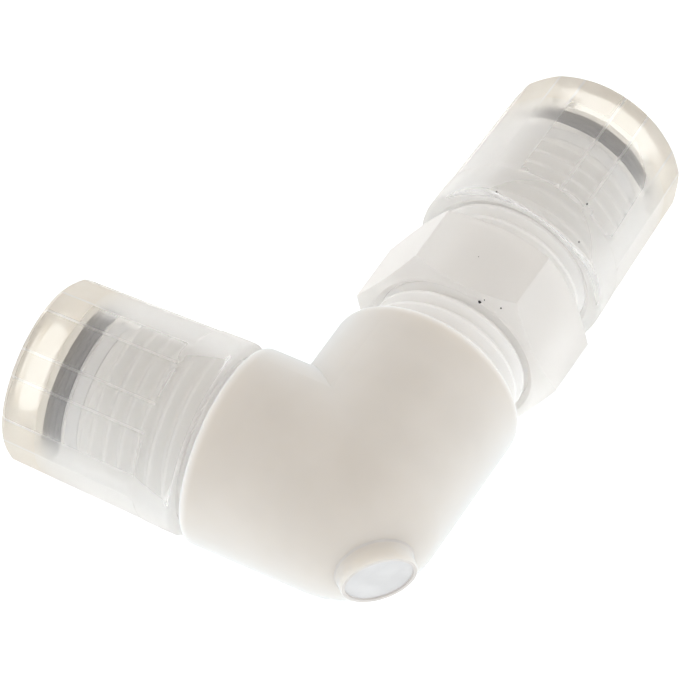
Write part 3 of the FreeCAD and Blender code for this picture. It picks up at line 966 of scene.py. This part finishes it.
# %% One union nut
def add_union_nut(skin, arm, rear, turn, material):
    """Add a union nut whose rear is at a distance along an arm, with a facet turned from the top."""
    ridges = []
    middles = []
    for pair in range(8):
        middle = turn + pair * PAIR
        ridges += [middle - NARROW_HALF, middle + NARROW_HALF]
        middles += [(middle, NARROW_HALF), (middle + PAIR / 2, WIDE_HALF)]
    columns = crowded_angles(ridges)
    outside = add_nut_outside(skin, arm, rear, middles, columns)
    rear_row, front_row = add_nut_inside(skin, arm, rear, material)
    zip_rows(skin, outside[0], columns, rear_row, thread_angles)
    zip_rows(skin, outside[-1], columns, front_row, thread_angles)
    mark_finishes(skin, arm.inverted(), rear, ridges)


# %% Build both union nuts
connections = [("short_arm", "short", SHORT_ARM, short_nut_rear, math.radians(4.2)),
               ("long_arm", "long", LONG_ARM, long_nut_rear, math.radians(27.6))]
for place_name, body_name, arm, rear, turn in connections:
    skin = bmesh.new()
    add_union_nut(skin, arm, rear, turn, clear_plastic)
    nut = finished(skin, "union_nut_clear_" + place_name, clear_plastic, ridge_highlight_plastic,
                   thick_plastic)
    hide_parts("union_nut_" + place_name)
    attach(nut, body_name + "_nut")

# %% [markdown]
# ## The panel nut
# A hexagonal nut of the same plastic, though it looks hazier, with its corners turned off at 30
# degrees at both ends. A bevel on a six-sided cylinder would give straight edges, but a turned
# chamfer cuts a curved line into each flat. Here it reaches further along the nut the greater
# the outline's radius is, which gives that curve. The same columns and skins make the rest.

# %% Sizes of the panel nut
HEX_APOTHEM = 11.75
HEX_TURN = math.radians(-25.2)
HEX_FACE_SHARE = 0.96
HEX_FACE = HEX_APOTHEM * HEX_FACE_SHARE
HEX_CORNER = HEX_APOTHEM / math.cos(math.radians(30))
HEX_CHAMFER = math.tan(math.radians(30))
HEX_MOUTH = 0.7
HEX_SHARPNESS = 15.0
HEX_SHARES = (0.0, 0.04, 0.5, 0.96, 1.0)
HEX_EDGE = 0.05
SIXTH = math.radians(60)
hex_ridges = [HEX_TURN + number * SIXTH for number in range(6)]
hex_middles = [(ridge + SIXTH / 2, SIXTH / 2) for ridge in hex_ridges]
hex_columns = crowded_angles(hex_ridges)
print(f"hexagon {2 * HEX_APOTHEM:.1f} mm across its flats")


def hex_radius(angle):
    """Radius of the hexagon at an angle, with slightly rounded corners."""
    return facet_radius(hex_middles, HEX_CORNER, angle, HEX_SHARPNESS)


def hex_drop(angle):
    """How far the chamfer reaches along the nut at an angle."""
    return (hex_radius(angle) - HEX_FACE) * HEX_CHAMFER


# %% Build the panel nut
skin = bmesh.new()
hex_front = hex_rear + hex_length
rings = [ring(LONG_ARM, hex_columns, hex_rear, HEX_FACE - EDGE_AFTER),
         ring(LONG_ARM, hex_columns, hex_rear + HEX_EDGE, HEX_FACE + EDGE_BEFORE)]
for share in HEX_SHARES:
    def place_at(angle, share=share):
        drop = hex_drop(angle)
        return hex_rear + drop + (hex_length - 2 * drop) * share

    rings.append(ring(LONG_ARM, hex_columns, place_at, hex_radius))
rings += [ring(LONG_ARM, hex_columns, hex_front - HEX_EDGE, HEX_FACE + EDGE_BEFORE),
          ring(LONG_ARM, hex_columns, hex_front, HEX_FACE - EDGE_AFTER)]
outside = add_rings(skin, rings)
rear_mouth = add_rings(skin, [
    ring(LONG_ARM, thread_angles, hex_rear, BORE + HEX_MOUTH),
    ring(LONG_ARM, thread_angles, hex_rear + HEX_MOUTH, BORE)])
add_thread(skin, LONG_ARM, hex_rear + HEX_MOUTH, hex_front - HEX_MOUTH, True, hazy_plastic)
front_mouth = add_rings(skin, [
    ring(LONG_ARM, thread_angles, hex_front - HEX_MOUTH, BORE),
    ring(LONG_ARM, thread_angles, hex_front, BORE + HEX_MOUTH)])
zip_rows(skin, outside[0], hex_columns, rear_mouth[0], thread_angles)
zip_rows(skin, outside[-1], hex_columns, front_mouth[-1], thread_angles)
panel_nut = finished(skin, "panel_nut_clear", hazy_plastic)
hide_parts("panel_nut")
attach(panel_nut, "panel_nut")

# %% [markdown]
# ## What sits inside each union nut
# A seal cone closes the gap between the tube and the shank, and a dark split ring bites the tube
# when the nut squeezes it. Both are turned shapes. Their corners are rounded in the outline,
# before it is turned, which costs nothing. The split ring is swept only part of the way round,
# and its ends are closed with flat faces.

# %% Rounded outlines
def rounded(outline, size, steps=3):
    """Round each corner of a closed outline of (along, radius) points."""
    points = []
    for number, corner in enumerate(outline):
        here = Vector(corner)
        back = Vector(outline[number - 1]) - here
        ahead = Vector(outline[(number + 1) % len(outline)]) - here
        cut = min(size, back.length * 0.4, ahead.length * 0.4)
        start = here + back.normalized() * cut
        end = here + ahead.normalized() * cut
        for step in range(steps + 1):
            share = step / steps
            curve = (1 - share) ** 2 * start + 2 * share * (1 - share) * here + share ** 2 * end
            points.append((curve.x, curve.y))
    return points


# %% Sizes of the seal cone and the split ring, from the nut's rear
TUBE_BORE = 6.12
NOSE_GAP = INNER_GAP / math.cos(SEAT_HALF_ANGLE)
NOSE_SHORT = 0.8
NOSE_TIP = SOCKET_RADIUS + NOSE_SHORT * math.tan(SEAT_HALF_ANGLE) - NOSE_GAP
FLANGE_START = shank_in_nut + INNER_GAP
FLANGE = 8.6
DISH_DEPTH = 0.9
DISH_EDGE = 7.9
DISH_FLOOR = 7.0
RING_START = flange_end + INNER_GAP
RING_NOSE = 6.9
RING_RADIUS = CAVITY - INNER_GAP
GROOVE_DEPTH = 0.35
LINE_HALF = 0.2
LINE_DEPTH = 0.25

seal_outline = rounded([
    (seal_nose, TUBE_BORE), (seal_nose, NOSE_TIP), (shank_in_nut, SEAT_MOUTH - NOSE_GAP),
    (FLANGE_START, SEAT_MOUTH - NOSE_GAP), (FLANGE_START, FLANGE), (flange_end, FLANGE),
    (flange_end, DISH_EDGE), (flange_end - DISH_DEPTH, DISH_FLOOR),
    (flange_end - DISH_DEPTH, TUBE_BORE)], 0.12)
groove_pitch = (ring_end - ring_nose) / 4
teeth = []
for number in (3, 2, 1):
    middle = ring_nose + groove_pitch * number
    teeth += [(middle + groove_pitch / 2, TUBE_BORE + GROOVE_DEPTH),
              (middle - groove_pitch / 2, TUBE_BORE + 0.01)]
mould_lines = []
for share in (0.3, 0.68):
    middle = RING_START + (CONE_START - INNER_GAP - RING_START) * share
    mould_lines += [(middle - LINE_HALF, RING_RADIUS), (middle, RING_RADIUS - LINE_DEPTH),
                    (middle + LINE_HALF, RING_RADIUS)]
ring_outline = rounded([
    (ring_nose, TUBE_BORE), (ring_nose, RING_NOSE),
    (RING_START, RING_NOSE + DISH_EDGE - DISH_FLOOR), (RING_START, RING_RADIUS)]
    + mould_lines + [
    (CONE_START - INNER_GAP, RING_RADIUS), (ring_end, CONE_END + 0.02),
    (ring_end, TUBE_BORE)] + teeth, 0.08)
print("outline points:", len(seal_outline), len(ring_outline))

# %% [markdown]
# The split ring closes on the tube because a narrow slot runs right through it. The slot has
# parallel sides, so the nearer a point of the outline lies to the axis, the greater the angle
# that the slot takes from its way round.

# %% One split ring
RING_COLUMNS = 120
RING_SLOT = 1.4
RING_SLOT_TURN = math.radians(200)


def add_split_ring(skin, arm, rear):
    """Sweep the ring's outline round an arm, from one side of its slot to the other."""
    sections = []
    for number in range(RING_COLUMNS + 1):
        section = []
        for along, radius in ring_outline:
            half_slot = math.asin(RING_SLOT / 2 / radius)
            share = number / RING_COLUMNS
            angle = RING_SLOT_TURN + half_slot + (FULL_TURN - 2 * half_slot) * share
            section.append(arm @ polar(rear + along, radius, angle))
        sections.append(section)
    rows = add_rings(skin, sections)
    skin.faces.new(rows[0])
    skin.faces.new(rows[-1])


# %% Build the seal cones and the split rings
for place_name, body_name, arm, rear, turn in connections:
    skin = bmesh.new()
    rings = [ring(arm, thread_angles, rear + along, size) for along, size in seal_outline]
    add_rings(skin, rings + rings[:1])
    seal = finished(skin, "seal_cone_turned_" + place_name, seal_plastic)
    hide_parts("seal_cone_" + place_name)
    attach(seal, "fitting")

    skin = bmesh.new()
    add_split_ring(skin, arm, rear)
    grip = finished(skin, "grip_ring_split_" + place_name, ring_plastic)
    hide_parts("grip_ring_" + place_name)
    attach(grip, body_name + "_grip")

# %% [markdown]
# ## Specks of dirt
# A few dark grains stick to the nuts, the largest on the panel nut's rear chamfer. Each is a
# small pebble: a ball of twenty faces, split once into eighty, with its corners pushed in or out
# by chance. It sits on the surface, half sunk, and rides on the nut that it sticks to. None
# reaches past that nut's rear face by more than 0.05 mm, so that the nut can still be run back to
# the shoulder. Each row gives the nut, the place along the arm, the distance from the axis, the
# degrees from the top and the size.

# %% Sizes and places of the specks
SPECK_SEED = 7
SPECK_BEHIND = 0.05
specks = [
    ("panel_nut", hex_rear + 0.1, 10.95, 18.8, 0.33),
    ("panel_nut", hex_rear + 0.22, 11.55, 20.5, 0.1),
    ("panel_nut", hex_rear + 0.42, 12.0, 30.8, 0.11),
    ("panel_nut", hex_rear + 5.2, 11.76, 3.0, 0.06),
    ("panel_nut", hex_rear + 7.9, 11.8, 14.0, 0.05),
    ("union_nut_long_arm", long_nut_rear + 0.4, 12.15, -11.1, 0.13),
    ("union_nut_long_arm", long_nut_rear + 5.76, 12.02, 36.2, 0.13),
    ("union_nut_long_arm", long_nut_rear + 0.77, 12.16, 45.3, 0.14),
    ("union_nut_long_arm", long_nut_rear + 9.5, 11.85, 21.0, 0.06),
]
speck_finish = plastic(
    "dirt_grain", thin=(0.05, 0.045, 0.05), thick=(0.025, 0.022, 0.025), cloud_scale=900.0,
    surface={"Swell": 0.4, "Pits": 0.6, "Roughness": 0.8, "Spread": 0.1}, bump=0.3,
    shader_values={"IOR": MILKY_IOR, "Specular IOR Level": 0.2})

# %% Build the specks
chance = random.Random(SPECK_SEED)
for carrier_name, body_name, rear in (("panel_nut", "panel_nut", hex_rear),
                                      ("union_nut_long_arm", "long_nut", long_nut_rear)):
    skin = bmesh.new()
    limit = crossing.x + rear - SPECK_BEHIND
    for node_name, place, radius, angle, size in specks:
        if node_name != carrier_name:
            continue
        made = bmesh.ops.create_icosphere(skin, subdivisions=2, radius=size)
        middle = LONG_ARM @ polar(place, radius, math.radians(angle))
        stretch = Vector((chance.uniform(0.8, 1.3), chance.uniform(0.7, 1.1),
                          chance.uniform(0.6, 0.9)))
        for corner in made["verts"]:
            push = chance.uniform(0.8, 1.15)
            corner.co = middle + Vector(a * b for a, b in zip(corner.co, stretch)) * push
            corner.co.x = max(corner.co.x, limit)
    grains = finished(skin, "dirt_specks_" + carrier_name, speck_finish)
    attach(grains, body_name)

# %% [markdown]
# ## The table and the light
# The photograph has a pure white ground and light from every side, with the brightest light low
# down and the darkest part of the room above, behind the camera. So the table glows a little,
# and the sky is white at the horizon and greyer overhead, and a little greyer behind the camera.
# That leaves the plastic darkest where it faces up, and lets its edges fade into the white.

# %% The table
TABLE_HALF = 3.0
TABLE_COLUMNS = 64
TABLE_GAP = 0.00002
table_height = cad_low.z - TABLE_GAP
skin = bmesh.new()
rim = [skin.verts.new((TABLE_HALF * math.cos(a), TABLE_HALF * math.sin(a), table_height))
       for a in even_angles(TABLE_COLUMNS)]
skin.faces.new(rim)
table_mesh = bpy.data.meshes.new("table")
skin.to_mesh(table_mesh)
skin.free()
table_finish = bpy.data.materials.new("lit_table")
table_finish.use_nodes = True
table_shader = table_finish.node_tree.nodes["Principled BSDF"]
for key, value in (("Base Color", (0.35, 0.35, 0.35, 1)), ("Roughness", 0.9),
                   ("Emission Color", (0.96, 0.99, 1, 1)), ("Emission Strength", 1.0)):
    table_shader.inputs[key].default_value = value
table_mesh.materials.append(table_finish)
table = bpy.data.objects.new("table", table_mesh)
bpy.context.scene.collection.objects.link(table)
print(f"table at {table_height / MM:.2f} mm")

# %% [markdown]
# The sky needs two blends. The first goes from white at the horizon to grey overhead, with the
# height of the direction that the light comes from. The second dims the side behind the camera.

# %% The sky
LOW_SKY = (1.27, 1.28, 1.3, 1)
HIGH_SKY = (0.85, 0.82, 0.78, 1)
CAMERA_SIDE = (-0.88, -0.47, 0.0)
CAMERA_SIDE_LIGHT = 0.86
world = bpy.data.worlds.new("light_tent")
bpy.context.scene.world = world
world.use_nodes = True
sky = world.node_tree
background = sky.nodes["Background"]
direction = put(sky, "ShaderNodeSeparateXYZ", None, {
    "Vector": put(sky, "ShaderNodeTexCoord").outputs["Generated"]})
height = put(sky, "ShaderNodeMapRange", {"interpolation_type": "SMOOTHSTEP"}, {
    "Value": direction.outputs["Z"], "From Min": 0.1, "From Max": 0.8})
sky_mix = put(sky, "ShaderNodeMix", {"data_type": "RGBA"}, {"Factor": height.outputs["Result"]})
sky_mix.inputs[6].default_value = LOW_SKY
sky_mix.inputs[7].default_value = HIGH_SKY
towards_front = put(sky, "ShaderNodeVectorMath", {"operation": "DOT_PRODUCT"}, {
    0: put(sky, "ShaderNodeTexCoord").outputs["Generated"]})
towards_front.inputs[1].default_value = CAMERA_SIDE
front_wall = put(sky, "ShaderNodeMapRange", {"interpolation_type": "SMOOTHSTEP"}, {
    "Value": towards_front.outputs["Value"], "From Min": 0.2, "From Max": 0.9,
    "To Min": 1.0, "To Max": CAMERA_SIDE_LIGHT})
sky.links.new(sky_mix.outputs[2], background.inputs["Color"])
sky.links.new(front_wall.outputs["Result"], background.inputs["Strength"])
print("sky:", len(sky.nodes), "nodes")

# %% [markdown]
# Light crosses many clear walls here, so it may bounce more often than usual. The plain view
# transform keeps the white ground white.

# %% Bounces and view
CLEAR_BOUNCES = 24
DIFFUSE_BOUNCES = 8
scene = bpy.context.scene
scene.view_settings.view_transform = "Standard"
scene.view_settings.look = "None"
scene.cycles.max_bounces = CLEAR_BOUNCES
scene.cycles.transmission_bounces = CLEAR_BOUNCES
scene.cycles.diffuse_bounces = DIFFUSE_BOUNCES
print("bounces:", CLEAR_BOUNCES, "in all,", DIFFUSE_BOUNCES, "of them diffuse")

# %% [markdown]
# ## Sizes on paper
# The CAD model's box is printed in millimetres. The visual model has to stay inside the
# CAD model's box.

# %% Print the CAD box
print("CAD box mm", [round(v / MM, 2) for v in (*cad_low, *cad_high)])
